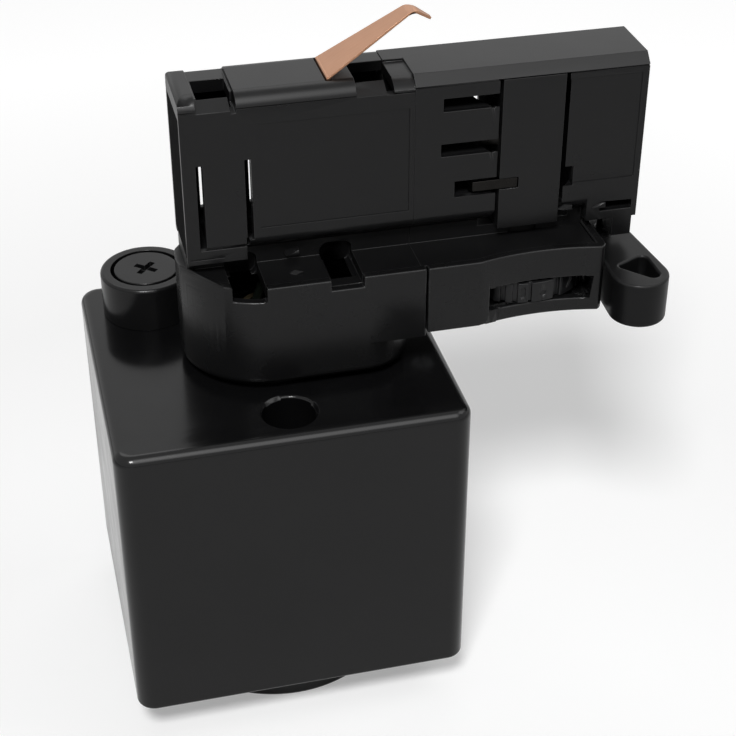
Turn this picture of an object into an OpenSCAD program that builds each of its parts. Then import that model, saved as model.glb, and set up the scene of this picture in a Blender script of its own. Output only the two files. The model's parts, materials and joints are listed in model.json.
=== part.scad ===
/* [Housing] */
// Width of the housing, along the adapter
body_w = 75; // [74:1:90]
// Depth of the housing, across the adapter
body_d = 70; // [68:1:84]
// Height of the housing
body_h = 68.9; // [66:0.1:90]
// Radius of the upright edges
body_edge_r = 4.1; // [3:0.1:7]
// Radius round the top
body_top_r = 2.2; // [1:0.1:2.4]
// Radius round the lower rim
body_rim_r = 0.9; // [0.4:0.1:1.4]
// Wall of the housing
body_wall = 2.5; // [1.8:0.1:2.8]
// Roof of the housing
body_roof = 3; // [2.4:0.1:4]

/* [Screw wells] */
// Distance of the two screw wells from the middle
well_y = 25.5; // [25:0.1:26]
// Radius of a screw well
well_r = 5.5; // [4.6:0.1:5.8]
// Depth of a screw well
well_depth = 45; // [40:1:48]
// Floor and wall of a screw well
well_wall = 1.5; // [1.2:0.1:2]

/* [Socket] */
// Radius of the collar under the housing
collar_r = 27.5; // [27:0.1:29]
// Height of the collar under the housing
collar_h = 10; // [6:0.5:12]
// Radius of the socket's well
socket_r = 22.2; // [21.8:0.1:22.6]
// Depth of the socket's well
socket_depth = 17.5; // [16:0.5:20]
// Distance between the pin holes
pin_pitch = 19; // [18:0.5:20]
// Radius of a pin hole
pin_hole_r = 2.6; // [2.5:0.05:2.8]
// Thickness of the plate and of the well's floor
socket_plate = 2.5; // [2:0.1:3]

/* [Fuse holder] */
// Distance of the fuse holder from the left side
fuse_from_side = 14.7; // [14:0.1:16]
// Distance of the fuse holder from the rear side
fuse_from_rear = 12.5; // [12.4:0.1:14]
// Radius of the fuse holder's head
fuse_head_r = 10.2; // [9.6:0.1:11]
// Height of the fuse holder's head
fuse_head_h = 10.4; // [7:0.1:12]
// Radius of the fuse cap
fuse_cap_r = 7.1; // [6.6:0.1:7.4]
// Thickness of the fuse cap
fuse_cap_h = 4; // [3:0.1:5]
// Groove between cap and head
fuse_groove = 0.8; // [0.4:0.1:1]
// Length of the fuse
fuse_len = 20; // [18:1:22]
// Radius of the fuse
fuse_r = 2.6; // [2.4:0.1:2.7]

/* [Adapter base] */
// Gap between housing and hub, set by the spacer ring
hub_gap = 2.2; // [1.5:0.1:4]
// Radius of the hub, and half the width of the flange
hub_r = 17.5; // [17:0.1:19]
// Middle of the hub's round left end, from its axis
hub_end_x = -1; // [-1.5:0.1:0]
// Reach of the hub to the right of its axis
hub_reach = 29.5; // [27:0.1:29.6]
// Radius of the hub's right corners
hub_corner_r = 10.5; // [8:0.5:12]
// Height of the hub, with the flange
hub_h = 22.9; // [21:0.1:28]
// Height of the flange
flange_h = 15.6; // [15:0.1:17]
// Right end of the base, from the hub's axis
base_end = 31.4; // [31.2:0.1:33]
// Right end of the arm, from the hub's axis
arm_end = 71.2; // [70:0.1:78]
// Wall of base and arm
flange_wall = 2; // [1.6:0.1:2.2]
// Depth of the finger recess in the arm
recess_depth = 1.8; // [1:0.1:2]
// Radius of the finger recess
recess_r = 55; // [50:1:70]

/* [Insert] */
// Thickness of the insert
insert_t = 17.5; // [17.3:0.1:18.5]
// Height of the insert above its neck
insert_h = 32.9; // [32.6:0.1:36]
// Height of the neck, from the flange to the insert
neck_h = 6; // [5:0.1:7]
// Half width of the neck
neck_half = 5.5; // [5:0.1:6]
// Left end of the insert
insert_left = -16.9; // [-18:0.1:-16.5]
// Seam between the two halves of the insert
insert_seam = 30.7; // [30.3:0.1:31]
// Reach of the insert past the lever's axis
insert_past_lever = 3.4; // [3.2:0.1:5]
// Width of the left half's round shoulders
shoulder_w = 3.5; // [2.8:0.1:3.6]
// Height of the left half's round shoulders
shoulder_h = 2.5; // [2:0.1:2.6]
// Bevel of the right half's shoulders
shoulder_bevel = 2.1; // [1.5:0.1:2.3]
// Radius of the insert's lower edges
chin_r = 3.2; // [2.4:0.1:3.2]
// Wall of the left half
insert_wall = 2.25; // [1.8:0.05:2.4]

/* [Selector] */
// Distance of the selector's axis from the arm's right end
rotor_from_end = 15.4; // [15.2:0.1:15.6]
// Half width of the tower
tower_half = 6.7; // [6.4:0.1:6.8]
// Reach of the contact blades from the axis
blade_reach = 15.1; // [14.6:0.1:15.2]
// Thickness of a contact blade
blade_t = 2.2; // [1.6:0.1:2.2]
// Turn between two phases
phase_step = 20; // [18:1:20]
// Radius of the selector wheel
wheel_r = 16.2; // [15.9:0.1:16.3]
// Thickness of the selector wheel
wheel_t = 4.65; // [4.2:0.05:4.7]
// Height of the ribs on the wheel's rim
rib_h = 0.8; // [0.4:0.1:1]

/* [Lever] */
// Distance of the lever's axis from the arm's right end
lever_from_end = 5.8; // [5.7:0.1:6]
// Radius of the lever's hub
lever_hub_r = 4.6; // [4.4:0.1:4.7]
// Height of the lever
lever_h = 10.3; // [9:0.1:11]
// Distance from the hub to the middle of the finger loop
loop_y = 20.6; // [19.5:0.1:24]
// Radius of the finger loop
loop_r = 6.2; // [5.7:0.1:7]
// Shift of the finger loop to the right
loop_x = 0.5; // [0:0.1:1]
// Reach of the locking cam
cam_reach = 9.8; // [9.4:0.1:9.8]

/* [Earth leaf] */
// Place of the leaf's fold, from the hub's axis
leaf_x = 13.55; // [12:0.1:15]
// Thickness of the leaf
leaf_t = 0.5; // [0.3:0.05:0.8]
// Rise of the leaf
leaf_rise = 31.5; // [28:0.5:36]
// Length of the straight part
leaf_len = 20; // [18:0.5:21]
// Width at the fold
leaf_root_w = 10.9; // [9:0.1:11]
// Width at the tip
leaf_tip_w = 3.2; // [2:0.1:5]

/* [Hidden] */

$fn = 64;
// Gap between fixed pieces that fit into each other
fit = 0.15;
// Gap round a shaft, a wheel or a moving blade
run = 0.3;
// Overshoot of a cut past the face it opens
over = 0.1;

// Heights of the housing and of what it holds
body_z = collar_h;
roof_z = body_z + body_h;
roof_under = roof_z - body_roof;
plate_sink = 0.8;
plate_z = body_z + plate_sink;
plate_top = plate_z + socket_plate;
socket_floor_top = socket_depth + socket_plate;
cup_r = socket_r + 3.8;
well_floor = roof_z - well_depth;
post_top = well_floor - 2 * well_wall;
post_r = 5;
corner_post = 4;
screw_r = 1.5;
screw_tip_gap = 4.6;
thread_fit = 0.1;

// Earth contacts of the socket
bow_w = 6;
bow_t = 0.8;
clip_slot_x = socket_r + 1.9;
clip_x = clip_slot_x - 0.4;
clip_bump = 4.2;
clip_foot = 4;

// Contact sleeves
sleeve_in_r = pin_hole_r;
sleeve_out_r = sleeve_in_r + 1.05;
sleeve_h = 14;
sleeve_block = 8;
collet_h = 4;

// Fuse holder
fuse_x = -(body_w / 2 - fuse_from_side);
fuse_y = body_d / 2 - fuse_from_rear;
fuse_top = roof_z + fuse_head_h;
fuse_seat = fuse_top - fuse_cap_h;
fuse_neck_r = 7.5;
fuse_neck_h = 12;
fuse_tube_r = 6.4;
fuse_plug_r = fuse_r + 2.2;
fuse_bore_r = fuse_plug_r + run;
fuse_z = fuse_seat - 6.2 - fuse_len;
fuse_plug_z = fuse_z + fuse_len - 6.6;
fuse_contact_h = 4;
fuse_floor = fuse_z - fuse_contact_h;
fuse_nut_r = 11;
fuse_nut_h = 3.5;
fuse_tail = 9;
lead_r = 1;

// Places along the adapter
rotor_x = arm_end - rotor_from_end;
lever_x = arm_end + lever_from_end;
insert_right = lever_x + insert_past_lever;
base_screw_x = base_end - 6.4;
arm_screw_x = base_end + 4.4;
boss_r = 3.3;

// Heights of the adapter
hub_z = roof_z + hub_gap;
flange_top = hub_z + hub_h;
flange_z = flange_top - flange_h;
hub_floor = 3;
nipple_r = 5;
nipple_bore = 3.7;
nut_r = 8.2;
nut_h = 3.5;
nipple_z = roof_under - nut_h - 2.5;
nipple_top = hub_z + hub_floor + nut_h + 2.5;
foot_top = flange_top - 0.4;
foot_z = flange_top - 3.2;
insert_z = flange_top + neck_h;
insert_top = insert_z + insert_h;
chin_z = insert_z - 1.7;
half_t = insert_t / 2;
notch_w = 6.9;
notch_x = [-9.1, 11.2];
notch_floor = [flange_top - 3.2, flange_top - 2.4];

// Selector
tower_z = flange_top + 2.5;
tower_top = insert_top - shoulder_bevel - run;
tower_gap = 0.45;
pocket_r = sqrt(pow(tower_half, 2) + pow(half_t, 2)) + tower_gap;
pocket_z = tower_z - 0.5;
pocket_top = tower_top + run;
slot_h = [3.65, 2.8, 2.85];
slot_z = [insert_z + 5.2, insert_z + 14.8, insert_z + 24.8];
slot_reach = [16.4, 19.5, 19.2];
slot_deep = 7.5;
slot_corner = 1.5;
neutral_slot_h = 3;
neutral_z = insert_z + 19.9;
neutral_blade_z = neutral_z + (neutral_slot_h - blade_t) / 2;
neutral_from = -4;
neutral_to = 34;
first_phase = 55;
last_turn = first_phase + 2 * phase_step;
rotor_shaft_r = 6;
window_z = flange_z + 3.1;
window_h = wheel_t + 0.75;
window_from = -10.3;
window_to = 12.5;
wheel_z = window_z + 0.35;
key_from = insert_seam - 4.3;
wheel_pin_r = 2.2;
wheel_pin_h = 1.6;
stub_h = 2.4;

// Lever
lever_z = flange_z + 0.1;
lever_shaft_r = 1.7;
shaft_bore_r = lever_shaft_r + run;
block_under = flange_top + 1.8;
foot_stub_z = flange_top - 2.6;
cam_t = 1.6;
cam_slot_z = flange_top + 3.8;
cam_slot_h = cam_t + 2 * run;
cam_tip_r = 2;
cam_hub_r = 2.6;

// Earth leaf
leaf_z = insert_top + 0.1;
leaf_leg = 6;
bend_r = 1.6;
hook_len = 3.4;
hook_fall = -46;

// Outline of one side of a round edge: reach from the middle, height, radius at the top and at the base
module edge_profile(reach, h, top_r, base_r) {
    intersection() {
        union() {
            square([reach - top_r, h]);
            square([reach - base_r, h / 2]);
            translate([0, base_r]) square([reach, h - top_r - base_r]);
            translate([reach - top_r, h - top_r]) circle(r = top_r);
            translate([reach - base_r, base_r]) circle(r = base_r);
        }
        square([reach, h]);
    }
}

// Disc with round edges
module puck(r, h, top_r, base_r) {
    rotate_extrude() edge_profile(r, h, top_r, base_r);
}

// Whole section across a block with round edges
module block_profile(half, h, top_r, base_r) {
    for (side = [0, 1]) mirror([side, 0]) edge_profile(half, h, top_r, base_r);
}

// Block with round upright edges, a round top and a round lower rim
module rounded_block(w, d, h, edge_r, top_r, base_r) {
    for (x = [-1, 1], y = [-1, 1])
        translate([x * (w / 2 - edge_r), y * (d / 2 - edge_r), 0]) puck(edge_r, h, top_r, base_r);
    rotate([90, 0, 90])
        linear_extrude(w - 2 * edge_r, center = true) block_profile(d / 2, h, top_r, base_r);
    rotate([90, 0, 0])
        linear_extrude(d - 2 * edge_r, center = true) block_profile(w / 2, h, top_r, base_r);
}

module rounded_rect(w, d, r) {
    square([w - 2 * r, d], center = true);
    square([w, d - 2 * r], center = true);
    for (x = [-1, 1], y = [-1, 1]) translate([x * (w / 2 - r), y * (d / 2 - r)]) circle(r = r);
}

// Two discs and the tangents between them
module link(a, ra, b, rb) {
    gap = norm(b - a);
    lean = acos((ra - rb) / gap);
    way = atan2(b[1] - a[1], b[0] - a[0]);
    translate(a) circle(r = ra);
    translate(b) circle(r = rb);
    polygon([
        a + ra * [cos(way + lean), sin(way + lean)],
        b + rb * [cos(way + lean), sin(way + lean)],
        b + rb * [cos(way - lean), sin(way - lean)],
        a + ra * [cos(way - lean), sin(way - lean)]
    ]);
}

// Part of a disc between two angles
module sector(r, from, to) {
    step = (to - from) / 4;
    intersection() {
        circle(r = r);
        polygon(concat([[0, 0]], [for (i = [0 : 4]) 2 * r * [cos(from + i * step), sin(from + i * step)]]));
    }
}

module tube(r, bore, h) {
    difference() {
        cylinder(r = r, h = h);
        translate([0, 0, -over]) cylinder(r = bore, h = h + 2 * over);
    }
}

// Cross recess of a screw head or cap, cut down from z = 0
module cross_recess(length, width, depth) {
    for (turn = [0, 90])
        rotate([0, 0, turn])
            translate([-length / 2, -width / 2, -depth]) cube([length, width, depth + over]);
}

module screw_head(head_r, head_h) {
    difference() {
        cylinder(r = head_r, h = head_h);
        translate([0, 0, head_h]) cross_recess(head_r * 1.3, 0.8, head_h / 2);
    }
}

// Screw with its head's underside at z = 0 and its shank below
module screw(head_r, head_h, shank) {
    screw_head(head_r, head_h);
    translate([0, 0, -shank]) cylinder(r = screw_r, h = shank);
}

module at_fuse() {
    translate([fuse_x, fuse_y, 0]) children();
}

module housing() {
    inner_w = body_w - 2 * body_wall;
    inner_d = body_d - 2 * body_wall;
    inner_r = body_edge_r - body_wall;
    color("#1b1b1d")
    difference() {
        union() {
            difference() {
                translate([0, 0, body_z]) rounded_block(body_w, body_d, body_h, body_edge_r, body_top_r, body_rim_r);
                translate([0, 0, body_z - over])
                    linear_extrude(body_h - body_roof + over) rounded_rect(inner_w, inner_d, inner_r);
            }
            for (y = [-1, 1])
                translate([0, y * well_y, post_top])
                    cylinder(r = well_r + well_wall, h = roof_under - post_top + over);
            for (x = [-1, 1], y = [-1, 1])
                translate([x * (inner_w - corner_post) / 2, y * (inner_d - corner_post) / 2, plate_top])
                    linear_extrude(roof_under - plate_top + over) square(corner_post + over, center = true);
        }
        for (y = [-1, 1]) translate([0, y * well_y, 0]) {
            translate([0, 0, well_floor]) cylinder(r = well_r, h = well_depth + over);
            translate([0, 0, roof_z - 0.7]) cylinder(r1 = well_r, r2 = well_r + 0.8, h = 0.8);
            translate([0, 0, post_top - over]) cylinder(r = screw_r + run, h = 2 * well_wall + 2 * over);
        }
        translate([0, 0, roof_under - over]) cylinder(r = nipple_r + fit, h = body_roof + 2 * over);
        at_fuse() translate([0, 0, roof_under - over]) cylinder(r = fuse_neck_r + fit, h = body_roof + 2 * over);
    }
}

module socket_insert() {
    plate_w = body_w - 2 * body_wall - 2 * fit;
    plate_d = body_d - 2 * body_wall - 2 * fit;
    color("#161618")
    difference() {
        union() {
            puck(collar_r, plate_top, 0.4, 0.9);
            translate([0, 0, plate_z])
                linear_extrude(socket_plate) rounded_rect(plate_w, plate_d, body_edge_r - body_wall);
            cylinder(r = cup_r, h = socket_floor_top);
            for (y = [-1, 1]) {
                translate([0, y * well_y, plate_z]) cylinder(r = post_r, h = post_top - plate_z);
                translate([0, y * pin_pitch / 2, 0])
                    cylinder(r = sleeve_out_r + fit + 1.2, h = socket_floor_top + collet_h);
            }
        }
        difference() {
            translate([0, 0, -over]) cylinder(r = socket_r, h = socket_depth + over);
            for (y = [-1, 1])
                translate([-2.6, y * socket_r - 2.6, 2]) cube([5.2, 5.2, socket_depth]);
        }
        for (y = [-1, 1]) {
            translate([0, y * pin_pitch / 2, 0]) cylinder(r = pin_hole_r, h = socket_floor_top + over);
            translate([0, y * pin_pitch / 2, socket_floor_top])
                cylinder(r = sleeve_out_r + fit, h = collet_h + over);
            translate([0, y * well_y, plate_top]) cylinder(r = screw_r + thread_fit, h = post_top - plate_top + over);
        }
        for (side = [0, 1]) mirror([side, 0, 0])
            translate([socket_r - 1.5, -bow_w / 2 - 0.5, 2])
                cube([clip_slot_x - socket_r + 1.5, bow_w + 1, socket_floor_top]);
    }
}

module pin_sleeves() {
    color("#c9a650")
    for (side = [0, 1]) mirror([0, side, 0]) translate([0, pin_pitch / 2, socket_floor_top]) {
        difference() {
            tube(sleeve_out_r, sleeve_in_r, sleeve_h);
            translate([-0.4, -sleeve_out_r - over, -over]) cube([0.8, 2 * (sleeve_out_r + over), sleeve_h - 2]);
        }
        difference() {
            translate([-sleeve_block / 2, -sleeve_block / 2, sleeve_h]) cube(sleeve_block);
            translate([-sleeve_block / 2 - over, 0, sleeve_h + 3])
                rotate([0, 90, 0]) cylinder(r = 1.4, h = sleeve_block + 2 * over);
            translate([0, 0, sleeve_h + 3])
                cylinder(r = screw_r + thread_fit, h = sleeve_block);
        }
    }
}

module earth_bow() {
    z = socket_floor_top;
    color("#c9a650")
    rotate([90, 0, 0]) translate([0, 0, -bow_w / 2]) linear_extrude(bow_w)
        for (side = [0, 1]) mirror([side, 0]) {
            translate([0, z]) square([clip_x, bow_t]);
            polygon([
                [clip_x, z + bow_t],
                [clip_x - bow_t, z + bow_t],
                [clip_x - bow_t, z - 6],
                [clip_x - clip_bump, clip_foot + 5.6],
                [clip_x - clip_bump, clip_foot + 4.6],
                [clip_x - 2.4, clip_foot],
                [clip_x - 1.6, clip_foot],
                [clip_x - clip_bump + bow_t, clip_foot + 4.8],
                [clip_x - clip_bump + bow_t, clip_foot + 5.4],
                [clip_x, z - 6.2]
            ]);
        }
}

module terminal_screws() {
    color("#b9bcc0") {
        for (y = [-1, 1])
            translate([0, y * pin_pitch / 2, socket_floor_top + sleeve_h + sleeve_block])
                screw(2.8, 1.8, 3.5);
        translate([0, 0, socket_floor_top + bow_t]) screw_head(2.8, 1.8);
    }
}

module housing_screws() {
    color("#b9bcc0")
    for (y = [-1, 1]) translate([0, y * well_y, well_floor])
        screw(3.6, 2.4, well_floor - plate_top - screw_tip_gap);
}

module fuse_holder() {
    color("#19191b")
    at_fuse() difference() {
        union() {
            translate([0, 0, roof_z]) puck(fuse_head_r, fuse_head_h, 0.8, 0.2);
            translate([0, 0, roof_z - fuse_neck_h]) cylinder(r = fuse_neck_r, h = fuse_neck_h + over);
            translate([0, 0, fuse_floor - 2]) cylinder(r = fuse_tube_r, h = roof_z - fuse_floor);
        }
        translate([0, 0, fuse_seat - 0.4]) cylinder(r = fuse_cap_r + fuse_groove, h = fuse_cap_h + 1);
        translate([0, 0, fuse_floor]) cylinder(r = fuse_bore_r, h = fuse_seat - fuse_floor);
        translate([0, 0, fuse_floor - 2 - over]) cylinder(r = 1.2, h = 2 + 2 * over);
    }
}

module fuse_nut() {
    color("#19191b")
    at_fuse() translate([0, 0, roof_under - fuse_nut_h]) difference() {
        cylinder(r = fuse_nut_r, h = fuse_nut_h, $fn = 6);
        translate([0, 0, -over]) cylinder(r = fuse_neck_r + thread_fit, h = fuse_nut_h + 2 * over);
    }
}

module fuse_contact() {
    color("#b9bcc0")
    at_fuse() {
        translate([0, 0, fuse_floor]) difference() {
            cylinder(r = fuse_bore_r - fit, h = fuse_contact_h - 0.3);
            translate([0, 0, fuse_contact_h - 2.4]) cylinder(r = fuse_r - 0.6, h = fuse_contact_h);
        }
        translate([0, 0, fuse_floor - fuse_tail]) cylinder(r = lead_r, h = fuse_tail + over);
    }
}

module fuse_cap() {
    color("#1d1d1f")
    at_fuse() difference() {
        union() {
            translate([0, 0, fuse_seat]) puck(fuse_cap_r, fuse_cap_h, 0.3, 0.2);
            translate([0, 0, fuse_plug_z]) cylinder(r = fuse_plug_r, h = fuse_seat - fuse_plug_z + over);
        }
        translate([0, 0, fuse_top]) rotate([0, 0, -40]) cross_recess(5.6, 1.4, 1.4);
        translate([0, 0, fuse_plug_z - over]) cylinder(r = fuse_r + fit, h = fuse_z + fuse_len - fuse_plug_z + over);
    }
}

module fuse() {
    color("#d8dde0")
    at_fuse() translate([0, 0, fuse_z]) {
        cylinder(r = fuse_r, h = 5);
        cylinder(r = fuse_r - 0.2, h = fuse_len);
        translate([0, 0, fuse_len - 5]) cylinder(r = fuse_r, h = 5);
    }
}

module spacer_ring() {
    color("#111113")
    translate([0, 0, roof_z]) tube(hub_r - 3, nipple_r + fit, hub_gap);
}

module nipple() {
    color("#c2a04a")
    translate([0, 0, nipple_z]) tube(nipple_r, nipple_bore, nipple_top - nipple_z);
}

module nipple_nuts() {
    color("#b9bcc0")
    for (z = [roof_under - nut_h, hub_z + hub_floor])
        translate([0, 0, z]) difference() {
            cylinder(r = nut_r, h = nut_h, $fn = 6);
            translate([0, 0, -over]) cylinder(r = nipple_r + thread_fit, h = nut_h + 2 * over);
        }
}

// Outline of the hub, drawn in by some distance
module hub_outline(inset) {
    r = hub_r - inset;
    corner = hub_corner_r - inset;
    translate([hub_end_x, 0]) circle(r = r);
    translate([hub_end_x, -r]) square([hub_reach - hub_corner_r - hub_end_x, 2 * r]);
    translate([0, hub_corner_r - hub_r]) square([hub_reach - inset, 2 * (hub_r - hub_corner_r)]);
    for (y = [-1, 1]) translate([hub_reach - hub_corner_r, y * (hub_r - hub_corner_r)]) circle(r = corner);
}

// Hub with a round left end, round right corners and a round lower edge
module hub_body(h, top_r, base_r) {
    corner_x = hub_reach - hub_corner_r;
    translate([hub_end_x, 0, 0]) puck(hub_r, h, top_r, base_r);
    for (y = [-1, 1])
        translate([corner_x, y * (hub_r - hub_corner_r), 0]) puck(hub_corner_r, h, top_r, base_r);
    translate([(corner_x + hub_end_x) / 2, 0, 0]) rotate([90, 0, 90])
        linear_extrude(corner_x - hub_end_x, center = true) block_profile(hub_r, h, top_r, base_r);
    rotate([90, 0, 0])
        linear_extrude(2 * (hub_r - hub_corner_r), center = true) edge_profile(hub_reach, h, top_r, base_r);
}

// Outline of the base's flange, drawn in by some distance, as far as x = to
module base_outline(inset, to) {
    r = hub_r - inset;
    translate([hub_end_x, 0]) circle(r = r);
    translate([hub_end_x, -r]) square([to - hub_end_x, 2 * r]);
}

// Outline of the arm with its finger recesses, drawn in by some distance
module arm_outline(inset, from) {
    half = hub_r - inset;
    corner = max(0.6, 2.5 - inset);
    right = arm_end - inset;
    difference() {
        union() {
            translate([from, -half]) square([right - corner - from, 2 * half]);
            translate([from, -half + corner]) square([right - from, 2 * (half - corner)]);
            for (y = [-1, 1]) translate([right - corner, y * (half - corner)]) circle(r = corner);
        }
        for (y = [-1, 1])
            translate([rotor_x + 1.2, y * (hub_r - recess_depth + recess_r)]) circle(r = recess_r + inset, $fn = 200);
    }
}

// Tube that takes an adapter screw, from some height up to the insert's foot
module screw_boss(from, r) {
    translate([0, 0, from]) cylinder(r = r, h = foot_z - from);
}

module screw_boss_hole() {
    translate([0, 0, flange_z - over]) cylinder(r = screw_r + run, h = flange_h);
    translate([0, 0, flange_z - over]) cylinder(r = 2.8, h = 2.4);
}

module adapter_base() {
    inset = flange_wall;
    base_drop = 0.7;
    color("#1c1c1e")
    difference() {
        union() {
            difference() {
                union() {
                    translate([0, 0, flange_z - base_drop])
                        linear_extrude(flange_h + base_drop) base_outline(0, base_end);
                    translate([0, 0, hub_z]) hub_body(hub_h - 1, 0.2, 1.2);
                }
                translate([0, 0, hub_z + hub_floor]) linear_extrude(hub_h) hub_outline(inset);
                translate([0, 0, flange_z + 2])
                    linear_extrude(flange_h) base_outline(inset, base_end - 1.5);
                translate([0, 0, foot_z]) linear_extrude(flange_h) base_outline(inset, base_end + over);
            }
            translate([base_screw_x, 0, 0]) screw_boss(hub_z + 1, boss_r + 0.9);
        }
        translate([base_screw_x, 0, 0]) screw_boss_hole();
        translate([base_screw_x, 0, hub_z - over]) cylinder(r = 2.8, h = flange_z - hub_z + 2 * over);
        translate([0, 0, hub_z - over]) cylinder(r = nipple_r + fit, h = hub_floor + 2 * over);
        for (i = [0, 1], side = [0, 1]) mirror([0, side, 0])
            translate([notch_x[i], -hub_r - 1, notch_floor[i]]) cube([notch_w, hub_r, flange_h]);
        for (y = [0, 1]) mirror([0, y, 0]) rim_flat();
        translate([base_end - 3, -5, flange_z + 4]) cube([4, 10, 6]);
    }
}

// Shallow flat on the round end's upper edge
module rim_flat() {
    flat_turn = 213.8;
    translate([hub_end_x, 0, flange_top]) rotate([0, 0, flat_turn]) translate([hub_r - 1.4, 0, 0])
        rotate([0, -18, 0]) translate([0, -10, -6]) cube([8, 20, 12]);
}

module adapter_arm() {
    seam_gap = 0.35;
    color("#1c1c1e")
    difference() {
        union() {
            difference() {
                translate([0, 0, flange_z]) linear_extrude(flange_h) arm_outline(0, base_end + seam_gap);
                translate([0, 0, flange_z + 2])
                    linear_extrude(flange_h) arm_outline(flange_wall, base_end + seam_gap + 1.5);
                translate([0, 0, foot_z]) linear_extrude(flange_h) arm_outline(flange_wall, base_end - over);
            }
            translate([arm_screw_x, 0, 0]) screw_boss(flange_z, boss_r);
            translate([rotor_x, 0, flange_z + 1]) cylinder(r = wheel_pin_r, h = wheel_z + wheel_pin_h - flange_z - 1);
        }
        translate([arm_screw_x, 0, 0]) screw_boss_hole();
        translate([rotor_x + window_from, -hub_r - 1, window_z])
            cube([window_to - window_from, 2 * hub_r + 2, window_h]);
        translate([arm_end - 4, -10, window_z]) cube([5, 20, window_h]);
        translate([base_end - 1, -5, flange_z + 4]) cube([4, 10, 6]);
    }
}

module adapter_screws() {
    color("#b9bcc0")
    for (x = [base_screw_x, arm_screw_x])
        translate([x, 0, flange_z + 2.3]) mirror([0, 0, 1]) screw(2.5, 1.8, 16);
}

// Section of the insert's neck and round lower edges, standing on some height
module neck_profile(bottom) {
    translate([-neck_half, bottom]) square([2 * neck_half, chin_z + chin_r - bottom]);
    translate([-half_t + chin_r, chin_z]) square([insert_t - 2 * chin_r, chin_r]);
    for (y = [-1, 1]) translate([y * (half_t - chin_r), chin_z + chin_r]) circle(r = chin_r);
}

// Section of the left half, with round shoulders that end in an edge
module shell_profile() {
    arc_r = (pow(shoulder_w, 2) + pow(shoulder_h, 2)) / (2 * shoulder_h);
    neck_profile(flange_top);
    intersection() {
        translate([-half_t, chin_z + chin_r]) square([insert_t, insert_top - chin_z - chin_r]);
        union() {
            translate([-half_t, chin_z]) square([insert_t, insert_top - shoulder_h - chin_z]);
            translate([-half_t + shoulder_w, chin_z]) square([insert_t - 2 * shoulder_w, insert_top - chin_z]);
            for (y = [-1, 1]) translate([y * (half_t - shoulder_w), insert_top - arc_r]) circle(r = arc_r);
        }
    }
}

// Section of the right half, with bevelled shoulders
module block_section() {
    polygon([
        [-half_t, chin_z + chin_r],
        [half_t, chin_z + chin_r],
        [half_t, insert_top - shoulder_bevel],
        [half_t - shoulder_bevel, insert_top],
        [-half_t + shoulder_bevel, insert_top],
        [-half_t, insert_top - shoulder_bevel]
    ]);
}

// Groove along front and rear, under the shoulders
module shoulder_groove(from, to, z) {
    along_x(from, to)
        for (side = [0, 1]) mirror([side, 0]) translate([half_t - 0.25, z]) square([0.25 + over, 0.35]);
}

module along_x(from, to) {
    translate([from, 0, 0]) rotate([90, 0, 90]) linear_extrude(to - from) children();
}

// U-shaped slit round the snap tongue in the front wall, narrow below
module tongue_slits() {
    tongue_z = insert_z - 0.5;
    deep = insert_wall + 2 * over;
    translate([-14.1, -half_t - over, tongue_z]) cube([1.3, deep, 19.1]);
    translate([-4.3, -half_t - over, tongue_z + 1.4]) cube([1.3, deep, 18.1]);
    translate([-14.1, -half_t - over, tongue_z]) cube([10, deep, 0.6]);
    translate([-4.5, -half_t - over, tongue_z]) cube([0.6, deep, 2]);
}

// Cut along x whose floor slopes down to the front
module ramp_cut(from, to, back_y, back_z) {
    along_x(from, to) polygon([
        [back_y, insert_top + 1],
        [-half_t - 1, insert_top + 1],
        [-half_t - 1, insert_top - 3.5],
        [back_y, back_z]
    ]);
}

// Windows, recess and leaf slot in the left half's top
module top_openings() {
    recess_z = insert_top - 1.3;
    recess_from = -13.4;
    recess_to = -5.5;
    translate([recess_from, -5.4, recess_z]) cube([recess_to - recess_from, insert_t, 4]);
    translate([-12.8, -5.4, recess_z - 4]) cube([6.9, 8.7, 5]);
    ramp_cut(recess_from, recess_to, -5.3, recess_z - 0.1);
    translate([-6.6, -half_t - over, insert_top - 3.6]) cube([1.1, 5.5, 4]);
    translate([18.7, -5.2, insert_top - 4]) cube([insert_seam - 18.7 + over, 6.7, 5]);
    ramp_cut(18.7, 24.9, -5.1, insert_top - 1.2);
    translate([24.9, -half_t - over, insert_top - 3.1]) cube([insert_seam - 24.9 + over, 5, 4]);
    translate([key_from - fit, 1.4, insert_top - 7]) cube([5, half_t, 8]);
    rotate([90, 0, 0]) linear_extrude(leaf_root_w + 0.8, center = true) leaf_slot_plan();
}

// Slot of the leaf seen from the front, wider below for the swing of the leaf's leg
module leaf_slot_plan() {
    polygon([
        [leaf_x + 0.75, insert_top + 1],
        [leaf_x - 0.5, insert_top + 1],
        [leaf_x - 0.6, insert_top - 0.3],
        [leaf_x - 1.5, insert_top - 3],
        [leaf_x + 0.75, insert_top - 3]
    ]);
}

// Cut that rounds the upper edge of the left end
module end_round_cut(r) {
    rotate([90, 0, 0]) linear_extrude(insert_t + 1, center = true) difference() {
        translate([insert_left - over, insert_top - r]) square(r + over);
        translate([insert_left + r, insert_top - r]) circle(r = r);
    }
}

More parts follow.
